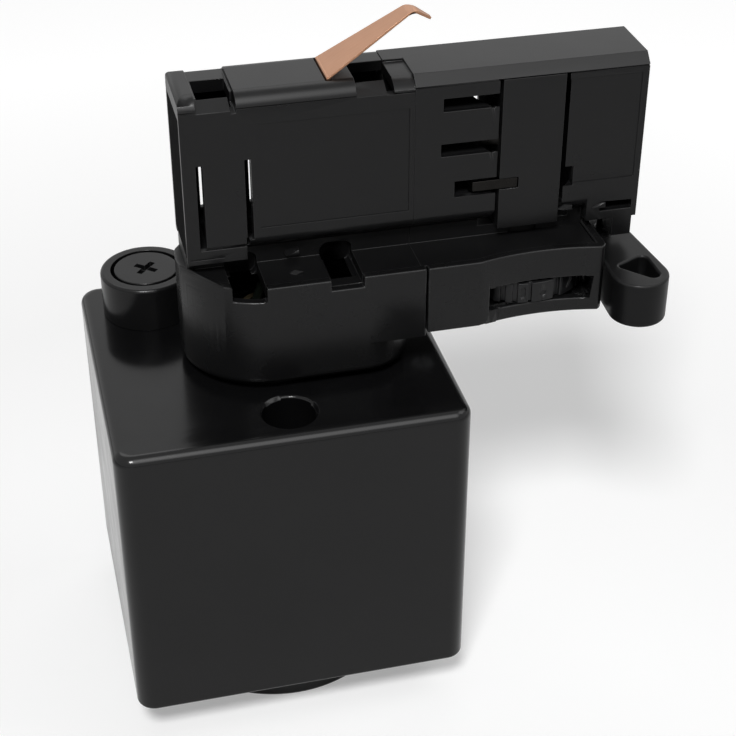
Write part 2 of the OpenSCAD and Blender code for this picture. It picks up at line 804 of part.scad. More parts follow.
module insert_shell() {
    color("#1e1e20")
    difference() {
        union() {
            along_x(insert_left, insert_seam) shell_profile();
            along_x(-hub_r + flange_wall + 2 * fit, insert_seam)
                translate([-neck_half, foot_top - over]) square([2 * neck_half, flange_top - foot_top + 2 * over]);
            translate([0, 0, foot_z]) linear_extrude(foot_top - foot_z) base_outline(flange_wall + fit, insert_seam);
            for (side = [0, 1]) mirror([0, side, 0])
                translate([insert_left, -half_t, insert_z - 3.6]) cube([12.4, insert_wall, 6]);
        }
        translate([insert_left + 2, -half_t + insert_wall, insert_z - 0.5])
            cube([10.4, insert_t - 2 * insert_wall, insert_h - 3.5]);
        translate([-4.9, -half_t + insert_wall, insert_z - 0.5])
            cube([insert_seam - 2 + 4.9, insert_t - 2 * insert_wall, insert_h - 1.7]);
        translate([-12.5, -3.4, foot_z - over]) cube([30, 6.8, neck_h + 4]);
        tongue_slits();
        top_openings();
        for (x = [[-11.6, -5.5], [-1.1, 2]])
            translate([x[0], half_t - insert_wall - over, insert_z + 1])
                cube([x[1] - x[0], insert_wall + 2 * over, 18]);
        end_round_cut(1.6);
        translate([-1.4, -half_t - over, insert_z + 3.3]) cube([31, over + 0.25, 23.2]);
        translate([insert_left + 0.7, -half_t - over, insert_z - 2.6]) cube([7, over + 0.25, 0.5]);
        shoulder_groove(insert_left - over, insert_seam + over, insert_top - shoulder_h - 0.35);
        for (i = [0, 1], side = [0, 1]) mirror([0, side, 0]) {
            translate([notch_x[i], -hub_r, notch_floor[i] - over])
                cube([notch_w, hub_r - neck_half, foot_top - notch_floor[i] + 2 * over]);
            translate([notch_x[i] + notch_w / 2, -neck_half + 1.9, flange_top - 0.5]) rotate([90, 0, 0])
                linear_extrude(half_t) rounded_rect(notch_w, 5.6, 1.9);
        }
        translate([base_screw_x, 0, foot_z - over]) cylinder(r = screw_r + thread_fit, h = 8.2);
    }
}

// Height of the underside of one contact blade, in the middle of its slot
function blade_z(i) = slot_z[i] + (slot_h[i] - blade_t) / 2;

// Shape of one contact blade about the rotor's axis, grown by some gap, at its rest angle in the first slot
module blade_plan(gap) {
    front = half_t - 0.2 + gap;
    tip = -sqrt(pow(blade_reach + gap, 2) - pow(front, 2));
    polygon([
        [tip, -front],
        [-2.7 + gap, -front],
        [1 + gap, -3],
        [-4.6, -1 + gap],
        [tip - 0.75, -front + 1.35 + gap]
    ]);
}

module neutral_plan(gap) {
    difference() {
        sector(blade_reach + gap, neutral_from - 4 * gap, neutral_to + 4 * gap);
        circle(r = 4.6 - gap);
    }
}

// Front of one contact slot, with its upper right corner round
module slot_front(length, h) {
    square([length - slot_corner, h]);
    square([length, h - slot_corner]);
    translate([length - slot_corner, h - slot_corner]) circle(r = slot_corner);
}

// Section of the key that reaches into the left half: high at the rear, low over the front shoulder
module key_profile() {
    polygon([
        [half_t, insert_top - 6.8],
        [half_t, insert_top - shoulder_bevel],
        [half_t - shoulder_bevel, insert_top],
        [1.6, insert_top],
        [1.6, insert_top - 0.6],
        [-half_t + shoulder_w, insert_top - 0.6],
        [-half_t + 1.3, insert_top - 1.4],
        [-half_t + 0.15, insert_top - 2.5],
        [-half_t + 0.15, insert_top - 2.95],
        [1.6, insert_top - 2.95],
        [1.6, insert_top - 6.8]
    ]);
}

module insert_block() {
    color("#1e1e20")
    difference() {
        union() {
            along_x(insert_seam, insert_right) block_section();
            along_x(insert_seam, arm_end - flange_wall) neck_profile(foot_top - over);
            translate([arm_end - 2.2, -half_t, block_under])
                cube([insert_right - arm_end + 2.2, insert_t, chin_z + chin_r - block_under + over]);
            translate([0, 0, foot_z])
                linear_extrude(foot_top - foot_z) arm_outline(flange_wall + fit, insert_seam);
            along_x(key_from, insert_seam + over) key_profile();
            for (side = [0, 1]) mirror([0, side, 0])
                translate([lever_x - 1.9, -half_t, foot_stub_z]) cube([4.4, half_t - 3.3, insert_z - foot_stub_z]);
        }
        shoulder_groove(insert_seam - over, insert_right + over, insert_top - shoulder_bevel - 0.35);
        translate([rotor_x, 0, pocket_z]) cylinder(r = pocket_r, h = pocket_top - pocket_z);
        translate([rotor_x, 0, foot_z - over]) cylinder(r = rotor_shaft_r + run, h = pocket_z - foot_z + 2 * over);
        for (i = [0 : 2]) {
            translate([rotor_x - slot_reach[i], -half_t + slot_deep, slot_z[i]])
                rotate([90, 0, 0]) linear_extrude(slot_deep + over)
                    slot_front(slot_reach[i] - tower_half - 0.6, slot_h[i]);
            translate([rotor_x, 0, slot_z[i]])
                linear_extrude(slot_h[i]) sector(blade_reach + run, 204 - i * phase_step, 236);
        }
        translate([rotor_x + tower_half - 1, -half_t - over, insert_z + 4.9])
            cube([3.9, half_t + 1, 4.4]);
        translate([rotor_x, 0, neutral_z]) linear_extrude(neutral_slot_h)
            sector(blade_reach + run, neutral_from - 5, neutral_to + last_turn + 5);
        translate([rotor_x + tower_half, -half_t - over, insert_z + 5.4])
            cube([insert_right - 1.4 - rotor_x - tower_half, over + 0.25, 23.8]);
        translate([lever_x, 0, block_under - over]) cylinder(r = shaft_bore_r, h = 21);
        translate([lever_x, 0, cam_slot_z]) linear_extrude(cam_slot_h) {
            sector(cam_reach + run, 180, 270);
            for (turn = [0, 90]) rotate(turn) cam_plan(run);
        }
        translate([arm_screw_x, 0, foot_z - over]) cylinder(r = screw_r + thread_fit, h = 8.2);
        translate([rotor_x, 0, pocket_top - over]) cylinder(r = 2.3, h = 1.3);
    }
}

module earth_leaf() {
    tip = leaf_len + 8;
    color("#c98a6c")
    translate([leaf_x, 0, leaf_z]) {
        intersection() {
            rotate([90, 0, 0]) linear_extrude(leaf_root_w + 2, center = true) {
                rotate([0, 0, leaf_rise]) {
                    translate([0, -leaf_t / 2]) square([leaf_len, leaf_t]);
                    translate([leaf_len, -leaf_t / 2 - bend_r]) {
                        difference() {
                            sector(bend_r + leaf_t, hook_fall - leaf_rise + 90, 90);
                            circle(r = bend_r);
                        }
                        rotate([0, 0, hook_fall - leaf_rise]) translate([0, bend_r]) square([hook_len, leaf_t]);
                    }
                }
            }
            linear_extrude(60, center = true) polygon([
                [-1, -leaf_root_w / 2],
                [0, -leaf_root_w / 2],
                [tip, -leaf_tip_w / 2],
                [tip, leaf_tip_w / 2],
                [0, leaf_root_w / 2],
                [-1, leaf_root_w / 2]
            ]);
        }
        rotate([90, 0, 0]) cylinder(r = leaf_t / 2, h = leaf_root_w, center = true);
        translate([-leaf_t / 2, -leaf_root_w / 2, -leaf_leg]) cube([leaf_t, leaf_root_w, leaf_leg]);
    }
}

module earth_clamp() {
    color("#c9a650")
    translate([leaf_x + 1.6, -half_t + insert_wall, insert_top - 16]) difference() {
        cube([6, 6, 8]);
        translate([3, 3, 2]) cylinder(r = screw_r, h = 7);
        translate([3, 7, 3]) rotate([90, 0, 0]) cylinder(r = 1.2, h = 5);
    }
}

module at_rotor() {
    translate([rotor_x, 0, 0]) children();
}

module contact_rotor() {
    color("#202022")
    at_rotor() difference() {
        union() {
            translate([-tower_half, -half_t + 0.05, tower_z])
                cube([2 * tower_half, insert_t - 0.1, tower_top - tower_z]);
            translate([0, 0, wheel_z + wheel_t]) cylinder(r = rotor_shaft_r, h = tower_z - wheel_z - wheel_t + over);
            translate([0, 0, wheel_z + wheel_t - stub_h]) linear_extrude(stub_h + over) stub_section(0);
            translate([0, 0, tower_top - over]) cylinder(r = 2, h = 1.2);
        }
        for (i = [0 : 2]) translate([0, 0, blade_z(i) - fit])
            linear_extrude(blade_t + 2 * fit) rotate([0, 0, -i * phase_step]) blade_plan(fit);
        translate([0, 0, neutral_blade_z - fit])
            linear_extrude(blade_t + 2 * fit) difference() {
                sector(20, neutral_from - 1, neutral_to + 1);
                circle(r = 4.4);
            }
    }
}

// Section of the stub that carries the wheel, with two flats
module stub_section(gap) {
    intersection() {
        circle(r = 4 + gap);
        square([9, 2 * (3.1 + gap)], center = true);
    }
}

module phase_blades() {
    color("#b9bcc0")
    at_rotor() for (i = [0 : 2])
        translate([0, 0, blade_z(i)]) linear_extrude(blade_t)
            rotate([0, 0, -i * phase_step]) blade_plan(0);
}

module neutral_blade() {
    color("#b9bcc0")
    at_rotor() translate([0, 0, neutral_blade_z]) linear_extrude(blade_t) neutral_plan(0);
}

// One rib on the wheel's rim, between two angles
module rim_rib(from, to) {
    linear_extrude(wheel_t) difference() {
        sector(wheel_r, from, to);
        circle(r = wheel_r - rib_h - 0.5);
    }
}

// Ribs and a pad of the rim, in front and behind, with a dot in the pad
module selector_wheel() {
    rib_turn = [-39, -29.2, -20];
    rib_angle = 5.2;
    pad = [-2.5, 15.5];
    pad_dot = 6.7;
    wide_rib = [21.5, 38];
    color("#26262a")
    at_rotor() translate([0, 0, wheel_z]) difference() {
        union() {
            cylinder(r = wheel_r - rib_h, h = wheel_t);
            for (half = [90, 270]) rotate([0, 0, half]) {
                for (turn = concat(rib_turn, [44.5, 52.5]))
                    rim_rib(turn - rib_angle / 2, turn + rib_angle / 2);
                rim_rib(-13.4, -5.4);
                rim_rib(pad[0], pad[1]);
                rim_rib(wide_rib[0], wide_rib[1]);
            }
        }
        for (half = [90, 270]) rotate([0, 0, half]) {
            rotate([0, 0, pad_dot]) translate([wheel_r - 0.4, 0, wheel_t * 0.4])
                rotate([0, 90, 0]) cylinder(r = 0.75, h = 2);
            rotate([0, 0, -9.4]) translate([wheel_r - 0.35, 0, wheel_t / 2])
                rotate([90, 0, 90]) linear_extrude(2) rounded_rect(1.1, 2.4, 0.5);
            rotate([0, 0, 30]) translate([wheel_r - 0.45, 0, 0]) rotate([90, 0, 90])
                linear_extrude(2) polygon([[-1.8, wheel_t - 0.7], [1.8, wheel_t - 0.7], [0, 1]]);
        }
        translate([0, 0, -over]) cylinder(r = wheel_pin_r + run, h = wheel_pin_h + run + over);
        translate([0, 0, wheel_t - stub_h]) linear_extrude(stub_h + over) stub_section(0.05);
        for (turn = [0, first_phase, first_phase + phase_step, last_turn])
            rotate([0, 0, 180 - turn]) translate([9, 0, wheel_t - 1]) cylinder(r = 0.9, h = 2);
    }
}

module detent_spring() {
    color("#b9bcc0")
    at_rotor() translate([-16, -2, wheel_z + wheel_t]) {
        translate([0, 0, foot_z - wheel_z - wheel_t - 0.4]) cube([8.2, 4, 0.4]);
        translate([7, 0, 0.3]) cube([0.4, 4, foot_z - wheel_z - wheel_t - 0.4]);
    }
}

module at_lever() {
    translate([lever_x, 0, 0]) children();
}

// Finger hole of the lever: a triangle with round corners
module finger_hole() {
    corner = [[-1.9, -loop_y + 3.2], [2.9, -loop_y + 5], [2.8, -loop_y - 1.3]];
    corner_r = [1, 1.4, 1.5];
    for (i = [0 : 2]) {
        j = (i + 1) % 3;
        link(corner[i], corner_r[i], corner[j], corner_r[j]);
    }
    polygon(corner);
}

module locking_lever() {
    color("#1b1b1d")
    at_lever() {
        translate([0, 0, lever_z]) linear_extrude(lever_h) difference() {
            link([0, 0], lever_hub_r, [loop_x, -loop_y], loop_r);
            finger_hole();
        }
        translate([0, 0, lever_z + lever_h - over])
            cylinder(r = lever_shaft_r, h = block_under + 20 - lever_z - lever_h);
    }
}

// Outline of the cam, grown by some gap
module cam_plan(gap) {
    link([0, 0], cam_hub_r + gap, [-cam_reach + cam_tip_r, 0], cam_tip_r + gap);
}

module locking_cam() {
    color("#b9bcc0")
    at_lever() translate([0, 0, cam_slot_z + run]) difference() {
        union() {
            cylinder(r = cam_hub_r, h = cam_t);
            linear_extrude(cam_t) cam_plan(0);
        }
        translate([0, 0, -over]) cylinder(r = lever_shaft_r + 0.05, h = cam_t + 2 * over);
    }
}

function unit(v) = v / norm(v);

// Ring of points round p, square to the direction way
function ring(p, way, r, sides) =
    let (u = unit(cross(way, [1, 0.35, 0.2])), v = cross(way, u))
    [for (k = [0 : sides - 1]) p + r * (cos(360 * k / sides) * u + sin(360 * k / sides) * v)];

// Round lead swept along a list of points
module lead(points, r) {
    sides = 8;
    last = len(points) - 1;
    ways = [for (i = [0 : last]) unit(
        (i < last ? unit(points[i + 1] - points[i]) : [0, 0, 0]) + (i > 0 ? unit(points[i] - points[i - 1]) : [0, 0, 0])
    )];
    polyhedron(
        points = [for (i = [0 : last], p = ring(points[i], ways[i], r, sides)) p],
        faces = concat(
            [[for (k = [0 : sides - 1]) k]],
            [for (i = [0 : last - 1], k = [0 : sides - 1])
                [i * sides + k, (i + 1) * sides + k, (i + 1) * sides + (k + 1) % sides]],
            [for (i = [0 : last - 1], k = [0 : sides - 1])
                [i * sides + k, (i + 1) * sides + (k + 1) % sides, i * sides + (k + 1) % sides]],
            [[for (k = [sides - 1 : -1 : 0]) last * sides + k]]
        )
    );
}

// From the pin sleeve to the side of the fuse holder
module fuse_lead() {
    bend = [-9, 20, roof_under - 18];
    hub = [fuse_x, fuse_y, bend[2]];
    way = unit(hub - bend);
    z = socket_floor_top + sleeve_h + 3;
    color("#6b4226")
    lead([
        [-sleeve_block / 2, pin_pitch / 2, z], [-8, pin_pitch / 2, z], bend, hub - (fuse_tube_r + fit) * way
    ], lead_r);
}

// From the fuse's contact through the nipple to the insert
module line_lead() {
    start = fuse_floor - fuse_tail;
    color("#6b4226")
    lead([
        [fuse_x, fuse_y, start], [fuse_x, fuse_y, start - 3], [-10, 12, start + 4], [0, 2, nipple_z - 6],
        [0, 2, nipple_top + 2], [8, 2, foot_z], [12, 2, insert_z + 1], [24, 2.5, insert_z + 8],
        [insert_seam - 2, 2.5, insert_z + 8]
    ], lead_r);
}

// From the other pin sleeve through the nipple to the insert
module neutral_lead() {
    z = socket_floor_top + sleeve_h + 3;
    color("#2f5f9e")
    lead([
        [sleeve_block / 2, -pin_pitch / 2, z], [9, -pin_pitch / 2, z], [9, -6, z + 13], [1.73, -1, nipple_z - 6],
        [1.73, -1, nipple_top + 2], [12, -1.6, foot_z + 2], [15, -1.6, insert_z + 1], [24, -2.5, insert_z + 4],
        [insert_seam - 2, -2.5, insert_z + 4]
    ], lead_r);
}

// From the socket's earth bow through the nipple to the clamp of the earth leaf
module earth_lead() {
    z = socket_floor_top + bow_t + 1.8;
    clamp_x = leaf_x + 4.6;
    color("#4d8a3a")
    lead([
        [0, 0, z], [0, 0, z + 22], [-1.73, -1, nipple_z - 8], [-1.73, -1, nipple_top + 2], [2, -2, foot_z + 3],
        [6, -2.4, insert_z + 2], [clamp_x, -half_t + insert_wall + 3, insert_top - 22],
        [clamp_x, -half_t + insert_wall + 3, insert_top - 16]
    ], lead_r);
}

housing();
socket_insert();
pin_sleeves();
earth_bow();
terminal_screws();
housing_screws();
fuse_holder();
fuse_nut();
fuse_contact();
fuse_cap();
fuse();
spacer_ring();
nipple();
nipple_nuts();
adapter_base();
adapter_arm();
adapter_screws();
insert_shell();
insert_block();
earth_leaf();
earth_clamp();
contact_rotor();
phase_blades();
neutral_blade();
selector_wheel();
detent_spring();
locking_lever();
locking_cam();
fuse_lead();
line_lead();
neutral_lead();
earth_lead();
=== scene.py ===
import json
from math import radians

import bmesh
import bpy
from bpy.props import FloatProperty, FloatVectorProperty, IntProperty, PointerProperty
from mathutils import Matrix, Vector


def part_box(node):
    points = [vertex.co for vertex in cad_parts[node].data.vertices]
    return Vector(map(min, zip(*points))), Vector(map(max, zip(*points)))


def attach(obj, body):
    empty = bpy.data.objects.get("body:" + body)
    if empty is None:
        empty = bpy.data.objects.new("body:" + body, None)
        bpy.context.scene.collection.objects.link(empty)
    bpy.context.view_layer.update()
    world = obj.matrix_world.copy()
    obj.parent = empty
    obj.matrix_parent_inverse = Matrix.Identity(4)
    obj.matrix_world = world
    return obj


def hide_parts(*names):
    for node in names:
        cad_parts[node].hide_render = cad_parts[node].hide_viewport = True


bl_info = {
    "name": "Track socket outlet",
    "version": (1, 0, 0),
    "blender": (4, 5, 0),
    "location": "3D View > Sidebar > Outlet",
    "description": "Dresses the outlet's solids in moulded plastic, copper, brass and steel",
    "category": "Object",
}

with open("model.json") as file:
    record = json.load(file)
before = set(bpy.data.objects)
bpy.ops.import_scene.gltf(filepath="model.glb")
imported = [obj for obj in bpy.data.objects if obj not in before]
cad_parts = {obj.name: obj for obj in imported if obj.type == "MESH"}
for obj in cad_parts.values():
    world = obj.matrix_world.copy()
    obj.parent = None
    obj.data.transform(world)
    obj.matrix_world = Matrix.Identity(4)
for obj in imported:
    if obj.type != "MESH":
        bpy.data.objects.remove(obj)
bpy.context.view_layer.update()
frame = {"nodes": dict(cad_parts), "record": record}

MM = 0.001
BODY_OF = {
    node: body
    for body, nodes in frame["record"]["behaviour"]["bodies"].items()
    for node in nodes
}

# Mesh work: distance that counts as one point, and the angles of a flat, a seam, a sharp and a smooth edge
WELD = 2e-6
FLAT = radians(0.2)
SEAM = radians(1)
SHARP = radians(28)
SMOOTH = radians(42)
# Least width that counts, in metres, the widest that is looked for, and where along an edge it is measured
LEAST_WIDTH = 1e-7
WIDEST = 1.0
MEASURED_AT = (0.08, 0.5, 0.92)
# Width that a face needs beside a rounded edge, as a multiple of the rounding
ROOM = 2.6
# Face attribute that marks rounded edges, which the plastics paint with a highlight
ROUNDED_MARK = "edge_wear"
# Faces across the rounded edges of the lever and of the leaf
LEVER_STEPS = 4
LEAF_STEPS = 2

# Lowest and highest value that most of a noise lies between
NOISE_LOW = 0.3
NOISE_HIGH = 0.7
# Plastics: scales of the patterns, and how far they change roughness and height
PEEL_SCALE = 110.0
PEEL_DEPTH = 4e-6
FLOW_SCALE = 18.0
FLOW_STRETCH = (1, 1, 0.35)
FLOW_CHANGE = 0.02
CLOUD_CHANGE = 0.04
# Scale of the patches of the painted edge highlight, and the least share of it that a patch keeps
SHEEN_SCALE = 420.0
SHEEN_LEAST = 0.35
# Plastics: darkest and palest cloud as a multiple of the colour, and how much paler the painted highlight
# makes a rounded edge
CLOUD_DARK = 0.8
CLOUD_PALE = 1.5
SHEEN_GAIN = 2.2
SHEEN_LIFT = 0.006
# Metals: scale of the tarnish, palest tint, and how far brushed lines change roughness and height
TARNISH_SCALE = 160.0
METAL_PALE = 1.06
LINE_SMOOTHER = 0.07
LINE_ROUGHER = 0.09
LINE_STRENGTH = 0.12
LINE_DEPTH = 3e-5
# How much smoother than the adapter's satin the fuse holder, and the adapter's base and arm, are
FUSE_SMOOTHER = 0.08
BASE_SMOOTHER = 0.04
# Refraction of the housing's polished plastic and of the lever's
HOUSING_IOR = 1.34
LEVER_IOR = 1.24

# The insert's hollows, whose reflection is weakened as painted shade: their lowest and highest point, and
# from where to where they darken towards the middle plane, all in millimetres; then the reflection level
# outside and deep inside
HOLLOW_FOOT = 107.5
HOLLOW_TOP = 138.5
HOLLOW_DEEP = 7.2
HOLLOW_MOUTH = 8.1
REFLECTION = 0.5
HOLLOW_REFLECTION = 0.08

# Colours of the metals, lead sheaths and fuse
SCREW_STEEL = (0.50, 0.51, 0.52)
PLATED_STEEL = (0.55, 0.56, 0.57)
SPRING_STEEL = (0.45, 0.46, 0.47)
BRASS = (0.66, 0.47, 0.20)
# Brass of the earth clamp and the nipple, darkened as painted shade, as it shows only deep in a notch
BRASS_IN_SHADE = (0.05, 0.038, 0.02)
# Brass of the phase blades, painted near black as the shade deep in their slots
BLADE_BRASS_IN_SHADE = (0.018, 0.017, 0.016)
# Sheath colours darkened almost to black: painted shade, as the leads lie in the housing's shadow
SHADED_BROWN = (0.004, 0.0025, 0.002)
SHADED_BLUE = (0.002, 0.003, 0.006)
SHADED_GREEN = (0.002, 0.003, 0.002)
PALE_CERAMIC = (0.42, 0.44, 0.43)

# Middle and size of the small lugs on the insert's front and foot, in millimetres, and the way of their slope
LUGS = (
    ((5.2, -6.1, 105.6), (2.9, 1.4, 1.3)),
    ((4.9, -12.0, 103.9), (2.6, 1.2, 0.7)),
    ((63.9, -9.0, 110.0), (2.9, 1.0, 0.9)),
    ((71.6, -8.9, 109.4), (3.0, 0.6, 1.1)),
)
LUG_SLOPE = (-0.35, -0.45, 0.82)
# How far the slope's plane lies from the lug's middle, as a share of its size
LUG_CUT = 0.1

# The leaf's rise, its foot, hook and tip in millimetres, and how it narrows and bends there
LEAF_RISE = radians(31.5)
LEAF_FOOT = 13.8
HOOK_BEND = (31.2, 0.0, 153.6)
LEAF_TIP = 35.3
BODY_TAPER = 0.26
HOOK_TAPER = 0.65
HOOK_LIFT = radians(13)
# Share of the hook's length over which it takes its whole bend
HOOK_BEND_SHARE = 0.5
# Brushing of the leaf: stretch and scale of its lines
LEAF_BRUSH = (0.08, 1.0, 0.08)
LEAF_LINES = 2600.0
# Bead at the leaf's fold: middle, radius and how much shorter it is than the leaf is wide, in millimetres
FOLD = (13.72, 0.0, 142.98)
FOLD_RADIUS = 0.42
FOLD_SHORTER = 0.3
FOLD_SIDES = 24

# Floor: half its width and where its lift starts and ends growing, in metres; growth, and share in mirrors
FLOOR_HALF = 6.0
LIFT_FROM = 0.15
LIFT_TO = 0.34
LIFT_GROWTH = 0.2
LIFT_MIRRORED = 0.6
# Soft box: the way to its middle, and the cosines of its rim and of its bright part
SOFT_BOX_WAY = (0.12, -0.58, 0.80)
SOFT_BOX_RIM = 0.90
SOFT_BOX_CORE = 0.985
# Lamps: the way to each from the object's middle, its distance, width and height in metres, and the
# setting that holds its power
OBJECT_MIDDLE = (0.02, 0.0, 0.07)
LAMPS = (
    ("key", (-0.28, -0.72, 1.0), 1.0, 0.22, 0.22, "key_power"),
    ("rear", (0.10, 0.62, 0.84), 1.2, 1.2, 0.4, "rear_power"),
    ("fill", (0.75, -0.15, 0.9), 1.1, 0.5, 0.5, "fill_power"),
)
# Camera: its place, and the ways ahead and to its right; its sensor in millimetres, its clip in metres
EYE = (-51.1, -301.7, 277.3)
AHEAD = (0.1984, 0.8072, -0.5560)
RIGHT = (0.9711, -0.2387, 0.0)
SENSOR = 36.0
CLIP_START = 0.01
CLIP_END = 20.0


# Sizes, colours and stage


def length_prop(name, description, default, highest):
    """A length that can be set, its limits given in millimetres."""
    return FloatProperty(
        name=name, description=description, default=default * MM, min=0.0, max=highest * MM, unit="LENGTH"
    )


def colour_prop(name, description, default):
    """A colour that can be set."""
    return FloatVectorProperty(
        name=name, description=description, subtype="COLOR", size=3, default=default, min=0.0, max=1.0
    )


def share_prop(name, description, default, lowest=0.0, highest=1.0):
    """A share that can be set."""
    return FloatProperty(
        name=name, description=description, default=default, min=lowest, max=highest, subtype="FACTOR"
    )


def power_prop(name, description, default):
    """A lamp's power that can be set."""
    return FloatProperty(name=name, description=description, default=default, min=0.0, unit="POWER")


def strength_prop(name, description, default):
    """A brightness that can be set."""
    return FloatProperty(name=name, description=description, default=default, min=0.0)


class OutletSizes(bpy.types.PropertyGroup):
    """Sizes that only the dressed model has."""

    edge_round: length_prop("Edge rounding", "Rounding of the moulded parts' sharp edges", 0.32, 0.4)
    fine_round: length_prop("Fine edge rounding", "Rounding of small parts' sharp edges", 0.12, 0.2)
    leaf_round: length_prop("Leaf rounding", "Rounding of the copper leaf's edges", 0.05, 0.1)
    lever_round: length_prop("Lever rounding", "Rounding of the locking lever's edges", 0.55, 0.9)
    round_steps: IntProperty(
        name="Rounding steps",
        description="Faces across a rounded edge, apart from the lever's and the leaf's",
        default=3,
        min=1,
        max=5,
    )


class OutletColours(bpy.types.PropertyGroup):
    """Colours and finishes of the outlet."""

    housing: colour_prop("Housing", "Colour of the housing's plastic", (0.0030, 0.0030, 0.0032))
    adapter: colour_prop("Adapter", "Colour of the adapter's plastic", (0.0042, 0.0042, 0.0044))
    wheel: colour_prop("Wheel", "Colour of the selector wheel", (0.0070, 0.0070, 0.0074))
    leaf: colour_prop("Earth leaf", "Colour of the copper leaf", (0.48, 0.26, 0.16))
    gloss: share_prop("Housing roughness", "Roughness of the housing's polished plastic", 0.17, 0.05, 0.9)
    satin: share_prop("Adapter roughness", "Roughness of the adapter's eroded plastic", 0.31, 0.05, 0.9)
    # Strength of the painted highlight on rounded edges
    sheen: share_prop("Edge wear", "How much paler the rubbed edges are", 1.0, 0.0, 4.0)


class OutletStage(bpy.types.PropertyGroup):
    """Light, floor and camera."""

    key_power: power_prop("Key light", "Power of the soft lamp at the front left", 9.0)
    rear_power: power_prop("Rear light", "Power of the wide soft lamp above and behind", 2.6)
    fill_power: power_prop("Fill light", "Power of the broad lamp above and to the right", 1.6)
    sky: strength_prop("Sky", "Strength of the even light from all around", 0.08)
    soft_box: strength_prop("Soft box", "Brightness of the soft box overhead that rounded edges mirror", 3.2)
    sky_seen: strength_prop("Mirrored sky", "Brightness of the surroundings in polished surfaces", 1.0)
    floor: share_prop("Floor", "Whiteness of the floor", 0.66)
    floor_lift: share_prop(
        "Floor lift", "Light that the floor adds for the camera, so that it reads as white", 0.355
    )
    lens: FloatProperty(
        name="Lens", description="Focal length of the camera", default=81.03, min=20.0, unit="CAMERA"
    )


# Materials


def new_tree(name):
    """A new material with an empty node tree."""
    material = bpy.data.materials.new(name)
    material.use_nodes = True
    material.node_tree.nodes.clear()
    return material, material.node_tree


def add(tree, kind, inputs=None, **settings):
    """Adds a shader node, with its settings and its unlinked inputs."""
    made = tree.nodes.new("ShaderNode" + kind)
    for key, value in settings.items():
        setattr(made, key, value)
    for key, value in (inputs or {}).items():
        made.inputs[key].default_value = value
    return made


def join(tree, source, output, target, socket):
    """Links one node's output to another's socket."""
    tree.links.new(source.outputs[output], target.inputs[socket])


def rgba(colour, gain=1.0):
    """A colour with its strength changed and an alpha of 1."""
    return (*[min(1.0, c * gain) for c in colour], 1.0)


def noise(tree, where, scale, detail=3.0, roughness=0.5, stretch=(1, 1, 1), turn=(0, 0, 0)):
    """Noise on Object coordinates, stretched and turned."""
    mapping = add(tree, "Mapping", {"Scale": stretch, "Rotation": turn})
    join(tree, where, "Object", mapping, "Vector")
    made = add(tree, "TexNoise", {"Scale": scale, "Detail": detail, "Roughness": roughness})
    join(tree, mapping, "Vector", made, "Vector")
    return made


def spread(tree, source, output, low, high):
    """Maps the middle range of a noise to low to high."""
    limits = {"From Min": NOISE_LOW, "From Max": NOISE_HIGH, "To Min": low, "To Max": high}
    made = add(tree, "MapRange", limits)
    join(tree, source, output, made, "Value")
    return made


def tint_with_sheen(tree, colour, gain, clouds):
    """Colour of a plastic: soft clouds in its black, and a painted highlight that makes its rounded edges
    paler in patches.
    """
    dark, pale = rgba(colour, CLOUD_DARK), rgba(colour, CLOUD_PALE)
    tint = add(tree, "Mix", {"A": dark, "B": pale}, data_type="RGBA")
    join(tree, clouds, "Fac", tint, "Factor")
    # Painted highlight on the rounded edges' faces, broken into patches
    bevelled = add(tree, "Attribute", attribute_name=ROUNDED_MARK)
    patches = noise(tree, add(tree, "TexCoord"), SHEEN_SCALE, detail=3.0, roughness=0.6)
    share = add(tree, "Math", operation="MULTIPLY")
    join(tree, bevelled, "Fac", share, 0)
    join(tree, spread(tree, patches, "Fac", SHEEN_LEAST, 1.0), "Result", share, 1)
    highlighted = rgba([c * SHEEN_GAIN + SHEEN_LIFT * gain for c in colour])
    edge = add(tree, "Mix", {"B": highlighted}, data_type="RGBA")
    join(tree, share, "Value", edge, "Factor")
    join(tree, tint, "Result", edge, "A")
    return edge


def relief(tree, where, grain, depth):
    """Normal of a moulded face: slow waves from the mould, with the fine grain on top."""
    waves = noise(tree, where, PEEL_SCALE, detail=1.5, roughness=0.4)
    slow = add(tree, "Bump", {"Strength": 1.0, "Distance": PEEL_DEPTH})
    join(tree, waves, "Fac", slow, "Height")
    grains = noise(tree, where, grain, detail=2.0, roughness=0.55)
    fine = add(tree, "Bump", {"Strength": 1.0, "Distance": depth})
    join(tree, grains, "Fac", fine, "Height")
    join(tree, slow, "Normal", fine, "Normal")
    return fine


def hollow_mask(tree, where):
    """1 deep inside the insert's slots and gaps, where no light returns, else 0."""
    axes = add(tree, "SeparateXYZ")
    join(tree, where, "Object", axes, "Vector")
    depth = add(tree, "Math", operation="ABSOLUTE")
    join(tree, axes, "Y", depth, 0)
    limits = {"From Min": HOLLOW_DEEP * MM, "From Max": HOLLOW_MOUTH * MM, "To Min": 1.0, "To Max": 0.0}
    mask = add(tree, "MapRange", limits)
    join(tree, depth, "Value", mask, "Value")
    output = "Result"
    for limit, operation in ((HOLLOW_TOP, "LESS_THAN"), (HOLLOW_FOOT, "GREATER_THAN")):
        side = add(tree, "Math", {1: limit * MM}, operation=operation)
        join(tree, axes, "Z", side, 0)
        both = add(tree, "Math", operation="MULTIPLY")
        join(tree, mask, output, both, 0)
        join(tree, side, "Value", both, 1)
        mask, output = both, "Value"
    return mask


def paint_hollow_shade(tree, where, shader, roughness):
    """Paints shade into the insert's hollows by making them rough and weak in reflection; returns the new
    roughness.
    """
    mask = hollow_mask(tree, where)
    faint = add(tree, "MapRange", {"To Min": REFLECTION, "To Max": HOLLOW_REFLECTION})
    join(tree, mask, "Value", faint, "Value")
    join(tree, faint, "Result", shader, "Specular IOR Level")
    dull = add(tree, "Math", operation="MAXIMUM")
    join(tree, roughness, "Value", dull, 0)
    join(tree, mask, "Value", dull, 1)
    return dull


